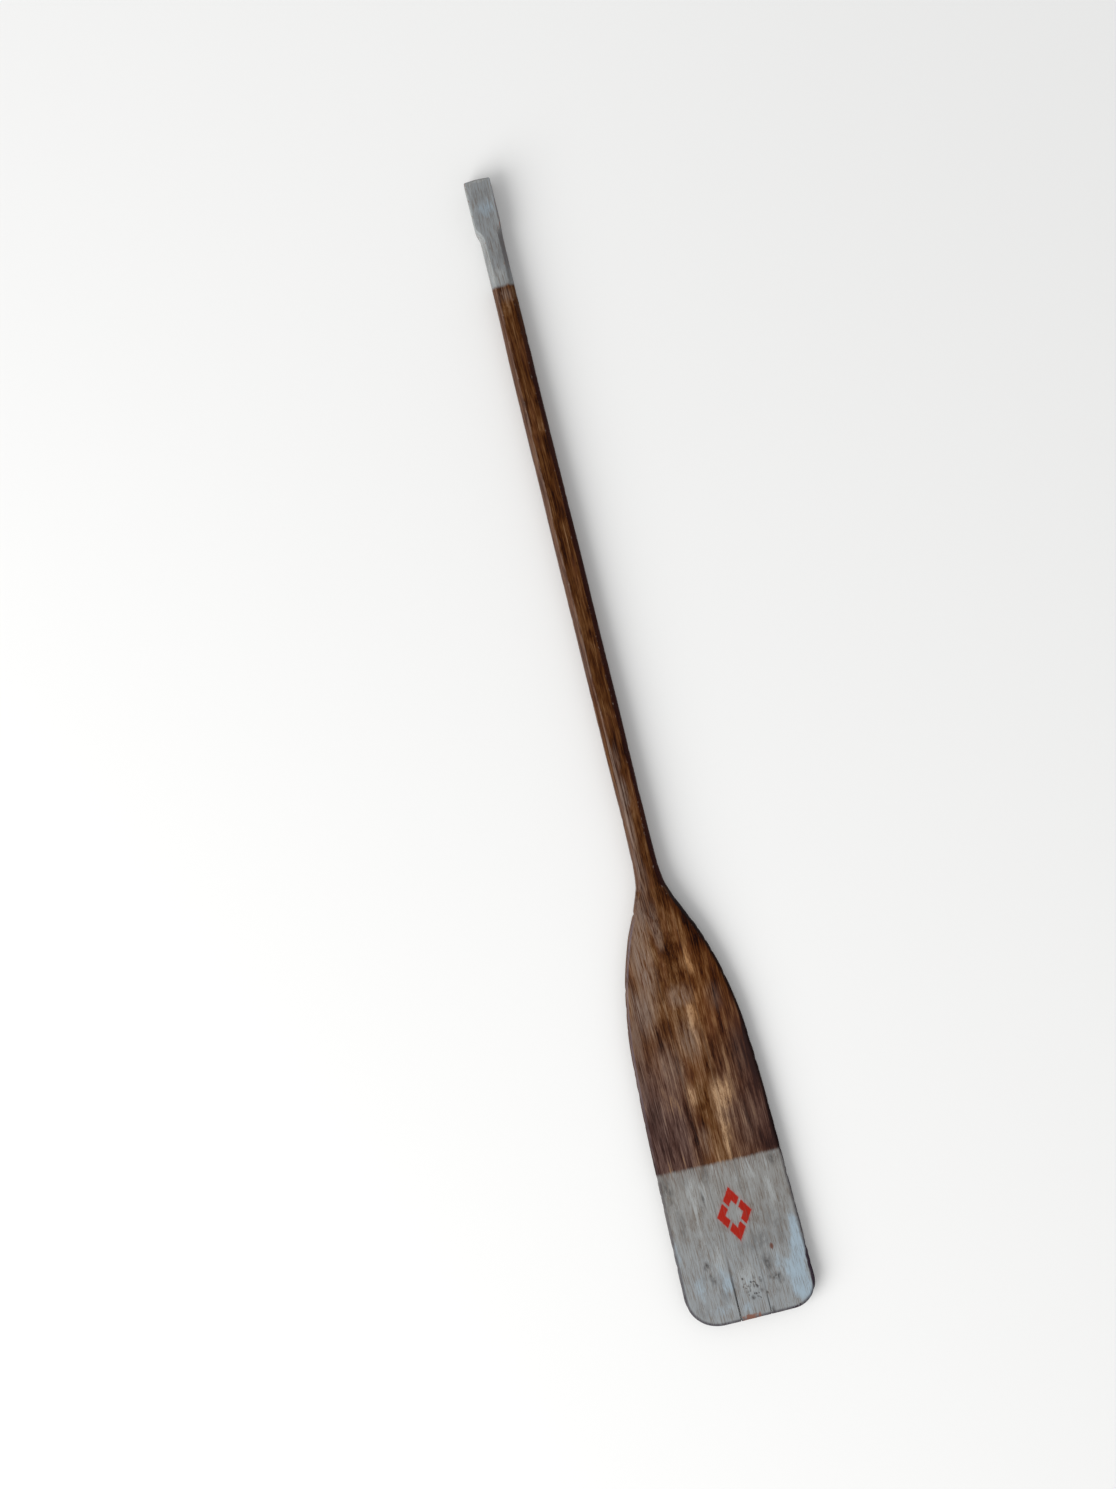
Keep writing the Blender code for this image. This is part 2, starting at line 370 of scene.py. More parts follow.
def weathered(points, shape, weights, seed):
    """The points moved by planing marks, dents, nicks and the paint's thickness, and the pits' strength."""
    from_grip = np.repeat(shape.from_grip[:, None], points.shape[1], 1)
    x, z = points[..., 0], points[..., 2] - THICKNESS / 2
    normal = normals_of(points)
    upper = smooth_step(0.0, 0.4, normal[..., 2])
    lower = smooth_step(0.0, 0.4, -normal[..., 2])
    rim = shape.rim(np.clip(x, -shape.left[:, None], shape.right[:, None]))

    planed = 0.1 * noise(from_grip / 0.045, x / 0.009 + 9 * np.sign(z), seed)
    planed += 0.05 * noise(from_grip / 0.016, x / 0.004 + 5 * np.sign(z), seed + 1)
    out = MM * planed * np.clip(weights + upper + lower, 0, 1)

    half = float(shape.full_right.max())
    pitted = pits(x, from_grip) * upper
    out -= PIT_DEPTH * pitted
    out -= dents(x, from_grip, upper, seed + 2, 70, half, BLADE_WEAR_FROM, LENGTH)
    out -= dents(x, from_grip, lower, seed + 3, 60, half, BLADE_WEAR_FROM, LENGTH)
    both = upper + lower
    out -= dents(x, from_grip, both, seed + 4, 40, SHAFT_HALF_WIDTH, SHAFT_WEAR_FROM, BLADE_WEAR_FROM)
    out -= nicked(shape, x, rim, weights)
    ragged = TIP_WEAR * (0.5 + 0.5 * noise(x / 0.006, 0 * x, 31))
    tip_wear = ragged * bell(LENGTH - from_grip, 0.0018)
    out -= tip_wear * both

    painted = smooth_step(PAINT_TIP_FROM, PAINT_TIP_FROM + PAINT_EDGE, from_grip)
    painted += smooth_step(PAINT_GRIP_TO, PAINT_GRIP_TO - PAINT_EDGE, from_grip)
    out += PAINT_THICKNESS * painted
    return points + normal * out[..., None], pitted, rim


def floor_guard(points):
    """Keeps every point at or over the surface that the oar lies on."""
    points[..., 2] = np.maximum(points[..., 2], 0.0)
    return points


def sides_of(side, from_grip):
    """The board's limits to the left and right, and its glued edges: line, opening and facing."""
    left_line, right_rim_shade = glue_line(-1, from_grip), glue_line(1, from_grip)
    left_gap, right_gap = opening(-1, from_grip), opening(1, from_grip)
    beyond = np.full_like(from_grip, 1.0)
    if side < 0:
        high = left_line - left_gap / 2
        return -beyond, high, ((high, left_gap, 1),)
    if side > 0:
        low = right_rim_shade + right_gap / 2
        return low, beyond, ((low, right_gap, -1),)
    low, high = left_line + left_gap / 2, right_rim_shade - right_gap / 2
    return low, high, ((low, left_gap, -1), (high, right_gap, 1))


def board_mesh(name, start, side, inner_points, seed):
    """One board as a closed mesh. side is 0 for the stave, -1 for the left wing and 1 for the right one."""
    from_grip = ring_distances(start)
    low, high, glued = sides_of(side, from_grip)
    shape, xs, zs, outer_left, outer_right = board_points(from_grip, low, high, inner_points)
    arris = shape.arris(xs)
    weights = edge_weights(xs.shape[1], outer_left, outer_right)
    xs, zs = soften(xs, weights), soften(zs, weights)

    # An opened joint narrows towards the lower face.
    height = zs / np.maximum(zs.max(1, keepdims=True), 1e-9)
    share = JOINT_CLOSING * smooth_step(1.0, -1.0, height)
    for line, gap, sign in glued:
        near = bell(xs - line[:, None], 0.002)
        xs = xs + sign * (gap - SEAM)[:, None] * share * near

    dome = GRIP_DOME * smooth_step(0.03, 0.0, from_grip)[:, None] * (xs / shape.full_left[:, None]) ** 2
    ys = GRIP_Y - from_grip[:, None] - dome
    points = np.stack([xs, ys, zs + THICKNESS / 2], axis=2)
    points, pitted, rim = weathered(points, shape, weights, seed)
    fields = {"rim": rim, "pit": pitted, "edge": weights, "arris": arris}
    return closed_grid(name, floor_guard(points), fields)


def finished_mesh(name, vertices, faces, values):
    mesh = bpy.data.meshes.new(name)
    mesh.from_pydata(np.concatenate(vertices).tolist(), [], faces)
    for key, field in values.items():
        attribute = mesh.attributes.new(key, "FLOAT", "POINT")
        attribute.data.foreach_set("value", np.concatenate(field).astype(np.float32))
    mesh.shade_smooth()
    mesh.set_sharp_from_angle(angle=SHARP_ANGLE)
    mesh.update()
    return mesh


def closed_grid(name, points, fields):
    """A mesh from rings of points, closed at both ends by rings that shrink to a middle point."""
    rings, around = points.shape[:2]
    vertices = [points.reshape(-1, 3)]
    values = {key: [field.reshape(-1)] for key, field in fields.items()}
    ring = np.arange(around)
    base = (np.arange(rings - 1) * around)[:, None]
    after = np.roll(ring, -1)
    quads = np.stack([base + ring, base + around + ring, base + around + after, base + after], axis=2)
    faces = quads.reshape(-1, 4).tolist()
    total = rings * around
    for end in (0, rings - 1):
        outer = end * around + ring
        middle = points[end].mean(0)
        middle[1] = points[end, :, 1].max() if end == 0 else points[end, :, 1].min()
        for share in (0.8, 0.5, 0.2):
            vertices.append(middle + (points[end] - middle) * share)
            inner = total + ring
            total += around
            for key, field in fields.items():
                values[key].append(field[end] * share)
            strip = np.stack([outer, outer[after], inner[after], inner], axis=1)
            faces += (strip if end == 0 else strip[:, ::-1]).tolist()
            outer = inner
        vertices.append(middle[None])
        for key in fields:
            values[key].append(np.zeros(1))
        fan = np.stack([outer, outer[after], np.full(around, total)], axis=1)
        faces += (fan if end == 0 else fan[:, ::-1]).tolist()
        total += 1
    return finished_mesh(name, vertices, faces, values)


# ---- materials

class Nodes:
    """A material's nodes, made by plain calls. Each call gives the socket that holds its result."""

    def __init__(self, name):
        self.material = bpy.data.materials.new(name)
        self.material.use_nodes = True
        self.tree = self.material.node_tree
        self.shader = self.tree.nodes["Principled BSDF"]

    def put(self, value, socket):
        if isinstance(value, bpy.types.NodeSocket):
            self.tree.links.new(value, socket)
        else:
            socket.default_value = value

    def make(self, kind, inputs, output=0, **settings):
        """A node of this kind with these settings, and with its inputs given by number or name."""
        node = self.tree.nodes.new("ShaderNode" + kind)
        for key, value in settings.items():
            setattr(node, key, value)
        for key, value in inputs.items():
            self.put(value, node.inputs[key])
        return node.outputs[output]

    def math(self, operation, *values):
        return self.make("Math", dict(enumerate(values)), operation=operation)

    def linear(self, value, factor, offset):
        """value times factor, plus offset."""
        return self.math("MULTIPLY_ADD", value, factor, offset)

    def chain(self, operation, values):
        total = values[0]
        for value in values[1:]:
            total = self.math(operation, total, value)
        return total

    def add(self, *values):
        return self.chain("ADD", values)

    def times(self, *values):
        return self.chain("MULTIPLY", values)

    def most(self, *values):
        return self.chain("MAXIMUM", values)

    def least(self, *values):
        return self.chain("MINIMUM", values)

    def off(self, value, centre):
        """How far the value is from the centre, either way."""
        return self.math("ABSOLUTE", self.math("SUBTRACT", value, centre))

    def step(self, value, low, high):
        """A smooth step from 0 to 1 as the value goes from low to high, whichever of them is larger."""
        ends = (low, high, 0.0, 1.0) if low < high else (high, low, 1.0, 0.0)
        inputs = dict(enumerate((value,) + ends))
        # It stays within its ends by itself. The extra clamps would make the shader too big for Cycles.
        return self.make("MapRange", inputs, interpolation_type="SMOOTHSTEP", clamp=False)

    def attribute(self, name):
        return self.make("Attribute", {}, "Fac", attribute_name=name)

    def vector(self, x, y, z):
        return self.make("CombineXYZ", {0: x, 1: y, 2: z})

    def place(self):
        """A point as (across, from the grip, up) in millimetres: the vector, then each of the three."""
        coordinates = self.make("TexCoord", {}, "Object")
        x, y, z = self.make("SeparateXYZ", {0: coordinates}).node.outputs
        across = self.times(x, 1000.0)
        down = self.linear(y, -1000.0, GRIP_Y * 1000)
        up = self.times(z, 1000.0)
        return self.vector(across, down, up), across, down, up

    def noise(self, place, width, length, detail=3.0, roughness=0.55, seed=0, output="Fac"):
        """Noise with features about width millimetres across and length millimetres along the oar."""
        scale = (1 / width, 1 / length, 2.2 / width)
        location = (seed * 3.7, seed * 5.3, seed * 1.9)
        spread = {"Vector": place, "Scale": scale, "Location": location}
        inputs = {
            "Vector": self.make("Mapping", spread, vector_type="POINT"),
            "Scale": 1.0,
            "Detail": detail,
            "Roughness": roughness,
        }
        return self.make("TexNoise", inputs, output)

    def wave(self, amount, *arguments, **options):
        """Noise about zero: amount is its usual reach to either side."""
        return self.linear(self.noise(*arguments, **options), amount * 4, -amount * 2)

    def warped(self, place, size, width, length):
        """The place, pushed about by up to size millimetres, so that what is laid on it has ragged edges."""
        noise = self.noise(place, width, length, 4, 0.65, 9, "Color")
        parts = self.make("SeparateColor", {0: noise}).node.outputs
        push = [self.linear(part, reach, -reach / 2) for part, reach in zip(parts, size)]
        return self.make("VectorMath", {0: place, 1: self.vector(*push)}, operation="ADD")

    def spot(self, place, centre, size, edge=0.6):
        """1 inside an oval of this half width and half length, falling to 0 over its outer share, edge."""
        oval = {"Vector": place, "Location": (*centre, 0), "Scale": (*size, 1e6)}
        inside = self.make("Mapping", oval, vector_type="TEXTURE")
        fall = self.make("TexGradient", {0: inside}, "Fac", gradient_type="SPHERICAL")
        return self.step(fall, 0.0, edge)

    def spots(self, place, listed, edge=0.6):
        """The sum of the listed spots: across, from the grip, half width, half length and strength."""
        total = 0.0
        for x, y, half_width, half_length, strength in listed:
            oval = self.spot(place, (x, y), (half_width, half_length), edge)
            total = self.linear(oval, strength, total)
        return total

    def mix(self, factor, a, b, blend="MIX"):
        return self.make("Mix", {0: factor, 6: a, 7: b}, 2, data_type="RGBA", blend_type=blend)

    def over(self, colour, shade, *factors):
        """The colour with a shade laid over it, by the product of the factors."""
        return self.mix(self.times(*factors), colour, shade)

    def surface(self, name, value):
        self.put(value, self.shader.inputs[name])

    def ramp(self, value, stops):
        colour = self.make("ValToRGB", {0: value})
        elements = colour.node.color_ramp.elements
        while len(elements) < len(stops):
            elements.new(0.5)
        for element, (position, shade) in zip(elements, stops):
            element.position = position
            element.color = shade
        return colour

    def bump(self, height, distance):
        return self.make("Bump", {"Distance": distance, "Height": height})


class BoardNodes(Nodes):
    """Nodes that know where a point of a board is, and what the mesh says of it there."""

    def __init__(self, name):
        super().__init__(name)
        self.exact, self.across, self.down, self.up = self.place()
        fields = (self.attribute(key) for key in ("rim", "edge", "pit", "arris"))
        self.rim, self.edge, self.pit, self.arris = fields
        self.front = self.step(self.up, 13.0, 17.0)
        self.ragged = self.warped(self.exact, (7.0, 20.0, 0.0), 8, 26)
        self.close = self.warped(self.exact, (3.6, 5.5, 0.0), 4, 9)

    def along(self, low, high):
        """A step along the oar, as the distance from the grip goes from low to high."""
        return self.step(self.down, low, high)


# Dark varnish stain, from where it gathered to where it has worn off the wood.
STAIN = (
    (0.0, (0.003, 0.0004, 0.0001, 1)),
    (0.18, (0.013, 0.0022, 0.0004, 1)),
    (0.36, (0.05, 0.014, 0.002, 1)),
    (0.52, (0.098, 0.04, 0.012, 1)),
    (0.7, (0.17, 0.092, 0.046, 1)),
    (0.85, (0.26, 0.152, 0.082, 1)),
    (1.0, (0.37, 0.235, 0.135, 1)),
)
PURPLE_STAIN = (0.052, 0.026, 0.024, 1)
MAUVE_STAIN = (
    (0.2, (0.011, 0.004, 0.0036, 1)),
    (0.38, (0.042, 0.02, 0.017, 1)),
    (0.54, (0.086, 0.049, 0.043, 1)),
    (0.76, (0.17, 0.115, 0.098, 1)),
)
RUDDY_STAIN = (0.135, 0.05, 0.022, 1)
RICH_TINT = (0.96, 0.82, 0.64, 1)
CHAMFER_SHADE = (0.023, 0.0016, 0.0003, 1)
BLACK_RIM_SHADE = (0.006, 0.002, 0.002, 1)
ARRIS_WEAR_AND_HIGHLIGHT = (0.21, 0.15, 0.12, 1)
GREY_SHEEN = (0.2, 0.15, 0.124, 1)
LILAC_SHEEN = (0.15, 0.128, 0.152, 1)
CHAMFER_SHEEN = (0.135, 0.09, 0.074, 1)
GREY_PAINT = (0.226, 0.224, 0.216, 1)
COOL_PAINT = (0.24, 0.256, 0.266, 1)
LIGHT_COAT_AND_HIGHLIGHT = (0.318, 0.33, 0.33, 1)
BROWN_WASH = (0.142, 0.12, 0.102, 1)
PALE_BLUE = (0.3, 0.385, 0.455, 1)
RED_PAINT = (0.3, 0.01, 0.003, 1)
BARE_WOOD = (0.19, 0.085, 0.058, 1)
RUST = (0.11, 0.036, 0.02, 1)
DIRT = (0.026, 0.02, 0.018, 1)
RIM_WEAR_AND_SHADE = (0.03, 0.021, 0.029, 1)
GRIP_SHADE = (0.07, 0.05, 0.05, 1)
SCUFFED_PAINT = (0.4, 0.43, 0.42, 1)

# On the upper face, where the stain has worn pale: ovals as across, from the grip, half width, half length
# and strength.
WORN = (
    (19, 992, 4, 30, 0.22), (24, 1012, 6, 34, 0.14), (24, 1052, 6, 26, 0.32), (28, 1064, 4, 14, 0.2),
    (14, 1018, 9, 7, 0.12), (48, 1052, 3, 20, 0.2), (11, 1118, 7, 22, 0.46), (8, 1138, 4, 14, 0.24),
    (12, 1154, 4, 22, 0.22), (23, 1098, 5, 14, 0.24), (29, 1118, 3, 14, 0.16), (-36, 1092, 3, 16, 0.12),
    (-18, 1104, 3, 18, 0.12), (2, 1092, 20, 18, 0.12), (-28, 1020, 16, 56, 0.14), (-13, 1150, 3, 30, 0.16),
    (4, 1150, 26, 56, 0.09), (-9, 1176, 3, 26, 0.12), (-14, 1210, 5, 18, 0.18), (-12, 1222, 9, 18, 0.24),
    (41, 1188, 3, 34, 0.22), (26, 1226, 22, 30, 0.3), (24, 1230, 15, 24, 0.16), (19, 1240, 7, 24, 0.12),
    (20, 1262, 10, 24, 0.28), (18, 1284, 8, 26, 0.28), (17, 1306, 5, 18, 0.24), (0, 1294, 11, 30, 0.14),
    (-42, 1180, 14, 24, 0.12), (-44, 1222, 14, 24, 0.1), (62, 1264, 4, 20, 0.16), (5, 330, 6, 16, 0.2),
    (0, 165, 9, 18, 0.08), (4, 470, 6, 18, 0.12), (3, 620, 7, 40, 0.06), (3, 835, 6, 50, 0.1),
    (4, 893, 6, 16, 0.1), (-3, 172, 9, 16, 0.18), (29, 1248, 8, 14, 0.22), (-22, 1150, 5, 22, 0.16),
    (0, 1210, 8, 18, 0.12), (21, 1132, 6, 16, 0.14), (20, 1108, 5, 16, 0.14), (-20, 1110, 5, 18, 0.12),
    (7, 1130, 6, 12, 0.12), (14, 1250, 6, 14, 0.14), (11, 154, 4, 16, 0.18),
)
# Where it has stayed or gathered dark.
GATHERED = (
    (34, 985, 10, 40, 0.36), (42, 1014, 10, 32, 0.26), (10, 962, 9, 20, 0.22), (18, 972, 8, 18, 0.14),
    (72, 1308, 10, 14, 0.3), (3, 1030, 14, 30, 0.24), (12, 1068, 12, 13, 0.2), (-18, 1062, 5, 24, 0.2),
    (-11, 1072, 5, 16, 0.18), (35, 1030, 9, 36, 0.16), (40, 1062, 6, 34, 0.16), (54, 1080, 6, 24, 0.22),
    (48, 1104, 9, 34, 0.24), (-36, 1132, 10, 18, 0.14), (-20, 1132, 4, 22, 0.26), (-38, 1154, 14, 18, 0.14),
    (-56, 1180, 4, 36, 0.18), (-55, 1220, 4, 44, 0.12), (-54, 1286, 6, 44, 0.2), (-22, 1186, 4, 34, 0.18),
    (-6, 1198, 4, 18, 0.14), (27, 1170, 6, 32, 0.3), (15, 1188, 4, 24, 0.22), (35, 1196, 6, 16, 0.14),
    (47, 1150, 6, 46, 0.24), (54, 1190, 9, 56, 0.24), (49, 1246, 6, 40, 0.22), (5, 1227, 4, 20, 0.24),
    (-3, 1240, 9, 7, 0.16), (-24, 1248, 6, 32, 0.26), (-22, 1278, 5, 40, 0.34), (-8, 1264, 10, 20, 0.1),
    (66, 1230, 12, 76, 0.18), (80, 1284, 7, 50, 0.5), (74, 1180, 6, 70, 0.3), (36, 1288, 8, 36, 0.05),
    (-64, 1262, 18, 60, 0.05), (60, 1296, 22, 22, 0.12), (9, 295, 6, 16, 0.24), (-8, 296, 5, 10, 0.14),
    (8, 354, 6, 20, 0.2), (9, 262, 5, 26, 0.16), (1, 440, 10, 24, 0.1), (-7, 490, 2, 40, 0.2),
    (8, 764, 7, 18, 0.28), (4, 610, 8, 16, 0.26), (-4, 420, 7, 24, 0.22), (-4, 350, 6, 18, 0.16),
    (11, 450, 4, 26, 0.25), (9, 940, 6, 24, 0.16),
)
# Where a painted grey sheen lies on it, mostly on the blade's left and the shaft's left strip.
SHEEN_SPOTS = (
    (-36, 1040, 22, 84, 1.2), (-24, 990, 14, 34, 0.9), (-48, 1108, 22, 44, 1.1), (-8, 985, 12, 34, 0.8),
    (2, 1092, 26, 22, 0.8), (2, 1150, 22, 40, 0.8), (26, 1256, 22, 22, 0.3), (-32, 1182, 28, 50, 0.7),
    (-62, 1236, 18, 80, 0.8), (-38, 1270, 16, 50, 0.6), (50, 1270, 26, 50, 0.4), (60, 1180, 14, 50, 0.3),
    (-10, 1284, 14, 32, 0.6), (46, 1104, 16, 30, 0.4), (-6, 930, 9, 34, 0.5), (-7, 850, 7, 90, 0.8),
    (-3, 772, 6, 26, 0.6), (-3, 818, 7, 26, 1.3), (-57, 1088, 9, 44, 0.9), (-66, 1140, 9, 50, 0.9),
    (-71, 1200, 8, 60, 0.8), (-19, 968, 9, 24, 0.8), (-7, 1012, 9, 26, 0.7), (-12, 948, 7, 20, 0.6),
    (0, 154, 14, 16, 0.9), (-11, 912, 4, 26, 1.0),
)


def wood_grain(n, on_blade):
    """The grain's coordinates, its tone, and the parts of it that other layers follow."""
    grain = n.warped(n.exact, (4.0, 0.0, 0.0), 30, 210)
    cloud = n.wave(0.12, grain, 18, 54, 4, 0.6, seed=1)
    mottle = n.wave(0.17, grain, 5.0, 52, 4, 0.64, seed=2)
    streak = n.wave(0.18, grain, 2.0, 110, 4, 0.62, seed=3)
    fleck = n.wave(0.12, grain, 1.4, 26, 3, 0.6, seed=7)
    fine = n.noise(grain, 0.9, 34, 3, 0.6, seed=4)
    pores = n.step(n.noise(grain, 0.7, 12, 2, 0.5, seed=5), 0.6, 0.72)
    tone = n.add(0.388, n.times(on_blade, 0.13), cloud, mottle, streak, fleck, n.times(pores, -0.14))
    tone = n.add(tone, n.linear(fine, 0.5, -0.25))
    sides = n.times(n.step(n.off(n.across, 2.0), 8, 34), n.along(1100, 1220))
    side_streak = n.wave(0.18, grain, 6.0, 105, 4, 0.62, seed=16)
    tone = n.add(tone, n.times(sides, side_streak), n.times(sides, -0.02))
    return grain, tone, mottle, streak, fine, pores


def wear_tone(n, on_blade, dark_side):
    """Tones to add where the stain is paler or darker, with painted shade near the blade's rim, most on the
    right.
    """
    broken = n.step(n.noise(n.ragged, 2.2, 13, 4, 0.7, seed=6), 0.36, 0.6)
    flecked = n.step(n.noise(n.exact, 1.7, 4.2, 4, 0.7, seed=10), 0.34, 0.62)
    worn = n.times(n.spots(n.close, WORN, 0.7), n.front)
    worn = n.times(worn, n.add(0.44, n.times(broken, 0.34), n.times(flecked, 0.4)))
    gathered = n.times(n.spots(n.ragged, GATHERED, 0.9), n.front, n.linear(broken, -0.7, 1.4))
    # Darker towards the blade's rim, most on the right side, where it is painted shade.
    near_rim = n.times(n.step(n.rim, 0.018, 0.001), on_blade, n.linear(dark_side, 0.8, 0.2))
    return worn, n.times(gathered, -0.85), n.times(near_rim, -0.12)


def mauve_and_grey(n, colour, tone, texture, on_blade, dark_side):
    """A painted grey sheen on the wood, the blade's purple rim, deeper on the right as painted shade, and the
    mauve cast of its lower part.
    """
    painted_sheen = n.times(n.spots(n.ragged, SHEEN_SPOTS, 0.9), n.front)
    painted_sheen = n.times(painted_sheen, n.step(texture, 0.22, 0.72))
    colour = n.mix(n.least(n.times(painted_sheen, 0.72), 0.82), colour, GREY_SHEEN)
    purple = n.times(n.step(n.rim, 0.04, 0.003), on_blade, n.along(1060, 1220))
    purple = n.times(purple, n.linear(dark_side, 0.6, 0.4))
    colour = n.over(colour, PURPLE_STAIN, purple, 0.52)
    mauve = n.times(n.along(1090, 1260), n.step(n.off(n.across, 2.0), 4, 40))
    mauve = n.times(mauve, n.linear(n.step(n.across, 10, 40), -0.3, 0.8))
    return n.over(colour, n.ramp(tone, MAUVE_STAIN), mauve, n.step(tone, 0.8, 0.56))


def chamfer_sheen_and_shade(n, colour, hairs, on_shaft, right_chamfer_shade):
    """Painted shade darkens the right chamfer. A painted sheen lightens the left one, with a painted
    highlight along its inner line.
    """
    left_chamfer_sheen = n.times(on_shaft, n.step(n.across, -7.0, -10.5), n.step(n.up, 6, 20))
    left_chamfer_sheen = n.times(left_chamfer_sheen, n.linear(n.step(n.off(n.down, 742), 95, 45), -0.85, 1.0))
    left_chamfer_sheen = n.times(left_chamfer_sheen, n.step(hairs, 0.14, 0.75))
    colour = n.over(colour, CHAMFER_SHADE, right_chamfer_shade, 0.75)
    # A painted highlight along the left chamfer's inner line.
    line = n.times(n.step(n.off(n.across, -9.0), 2.4, 0.5), n.along(660, 780))
    line = n.times(line, n.along(935, 870), n.front, n.step(hairs, 0.3, 0.6))
    colour = n.over(colour, CHAMFER_SHEEN, left_chamfer_sheen, 0.56)
    return n.over(colour, ARRIS_WEAR_AND_HIGHLIGHT, line, 0.7)


def stained_wood(n):
    """The stained and varnished wood's colour, with its fine grain and its pores for relief and gloss."""
    on_blade = n.along(930, 1010)
    grain, tone, mottle, streak, fine, pores = wood_grain(n, on_blade)
    # The rim is darker on the right, as painted shade, and on both sides near the paint, as stain.
    dark_side = n.most(n.step(n.across, -20, 20), n.along(1230, 1290))
    tone = n.add(tone, *wear_tone(n, on_blade, dark_side))
    # The shaft's right chamfer is darker too: painted shade.
    on_shaft = n.times(n.edge, n.along(1040, 930))
    right_chamfer_shade = n.times(on_shaft, n.step(n.across, 7.5, 10.5), n.step(n.up, 8, 20), n.along(150, 240))
    tone = n.add(tone, n.times(right_chamfer_shade, -0.2))
    colour = n.ramp(tone, STAIN)
    ruddy = n.step(n.noise(grain, 11, 70, 3, 0.6, seed=8), 0.48, 0.7)
    colour = n.over(colour, RUDDY_STAIN, ruddy, 0.28)
    rich = n.times(n.step(n.across, 2, 22), n.along(940, 970), n.along(1200, 1120))
    colour = n.mix(rich, colour, RICH_TINT, "MULTIPLY")
    texture = n.add(fine, n.times(mottle, 0.9), n.times(streak, 0.9))
    colour = mauve_and_grey(n, colour, tone, texture, on_blade, dark_side)
    return chamfer_sheen_and_shade(n, colour, n.add(fine, streak), on_shaft, right_chamfer_shade), fine, pores


WOOD_SHINE = 0.05
WOOD_RELIEF = 0.0002
# Single marks: the centre as across and from the grip, then half the width and half the length.
STENCIL_CENTRE = (4.0, 1385.0)
STENCIL_SIZE = (24.0, 37.5)
RUST_SPOT = ((41, 1437), (3.0, 6.0))
# The lower right corner's wear, and a dark oval along the right rim that is partly painted shade.
WORN_CORNER_AND_SHADED_RIM = (((86, 1478), (6, 46)), ((62, 1526), (34, 6)))


def stencil(n):
    """A red stencilled lozenge frame, bridged in the middle of each side: neither a letter nor a number."""
    grit = n.wave(0.03, n.exact, 2.0, 2.6, 3, 0.6, seed=21)
    across = n.times(n.off(n.across, STENCIL_CENTRE[0]), 1 / STENCIL_SIZE[0])
    down = n.times(n.off(n.down, STENCIL_CENTRE[1]), 1 / STENCIL_SIZE[1])
    distance = n.add(across, down, grit)
    bars = n.times(n.step(distance, 1.02, 0.92), n.step(distance, 0.44, 0.53))
    bridges = n.step(n.off(across, down), 0.04, 0.11)
    overspray = n.times(n.step(distance, 1.26, 0.96), n.step(distance, 0.26, 0.5), 0.1)
    return n.times(n.most(n.times(bars, bridges), overspray), n.front)


# The same on the paint: dirt.
SMUDGES = (
    (-47, 1444, 7, 9, 1.2), (-43, 1460, 7, 20, 1.0), (-54, 1458, 6, 12, 0.4), (28, 1426, 26, 20, 0.6),
    (56, 1428, 9, 14, 0.4), (31, 1456, 9, 22, 1.05), (50, 1400, 18, 24, 0.34), (36, 1476, 12, 7, 1.5),
    (43, 1483, 6, 7, 1.1), (36, 1494, 4, 5, 0.5), (6, 1432, 18, 14, 0.3), (-4, 1450, 3, 16, 0.4),
    (2, 1497, 4, 5, 1.2), (1, 1481, 3, 4, 1.1), (17, 1478, 3, 4, 1.0), (8, 1471, 3, 5, 0.8),
    (-4, 1488, 4, 3, 0.8), (15, 1490, 4, 4, 0.8), (-5, 1477, 4, 2, 0.7), (-74, 1338, 12, 34, 1.0),
    (-66, 1384, 8, 40, 0.65), (-50, 1330, 10, 16, 0.3), (-22, 1327, 9, 20, 0.8), (-31, 1358, 3, 20, 0.95),
    (-36, 1370, 3, 16, 0.85), (70, 1326, 12, 14, 0.95), (58, 1412, 12, 16, 0.34), (24, 1518, 4, 7, 1.3),
    (-34, 1484, 10, 26, 0.45), (-66, 1500, 14, 16, 0.34), (6, 100, 9, 22, 0.45), (2, 80, 8, 10, 0.34),
    (-12, 52, 7, 12, 0.34), (12, 12, 7, 12, 0.1), (0, 20, 18, 12, 0.24),
)
# Where the upper coat is whole, and blue.
WHOLE_COAT = (
    (76, 1418, 10, 28, 1.1), (74, 1446, 17, 28, 1.0), (66, 1474, 24, 28, 1.0), (68, 1500, 22, 26, 1.1),
    (46, 1458, 13, 18, 0.4), (-30, 1464, 11, 48, 0.44), (-62, 1470, 14, 28, 0.44),
    (-42, 1504, 26, 12, 0.34), (-8, 1508, 13, 12, 0.44), (0, 1470, 16, 24, 0.26), (-80, 1420, 7, 44, 0.4),
    (4, 40, 26, 22, 0.42), (-22, 1472, 8, 20, 0.5),
)
# Where the brush left more paint at the tip. The marks on the neck's left chamfer and at the grip's end are
# painted highlights.
LIGHTER = (
    (-28, 1348, 5, 22, 0.7), (-44, 1346, 12, 40, 0.35), (-10, 1326, 6, 18, 0.4), (34, 1335, 16, 20, 0.4),
    (56, 1366, 8, 34, 0.4), (-44, 1400, 6, 40, 0.3), (-30, 1440, 12, 30, 0.4), (0, 1470, 18, 30, 0.5),
    (14, 1380, 10, 30, 0.2), (-2, 130, 12, 16, 0.8), (-10, 115, 4, 24, 0.5), (0, 2, 20, 4, 0.9),
    (-44, 1370, 9, 26, 0.35), (-12, 82, 4, 22, 0.6),
)


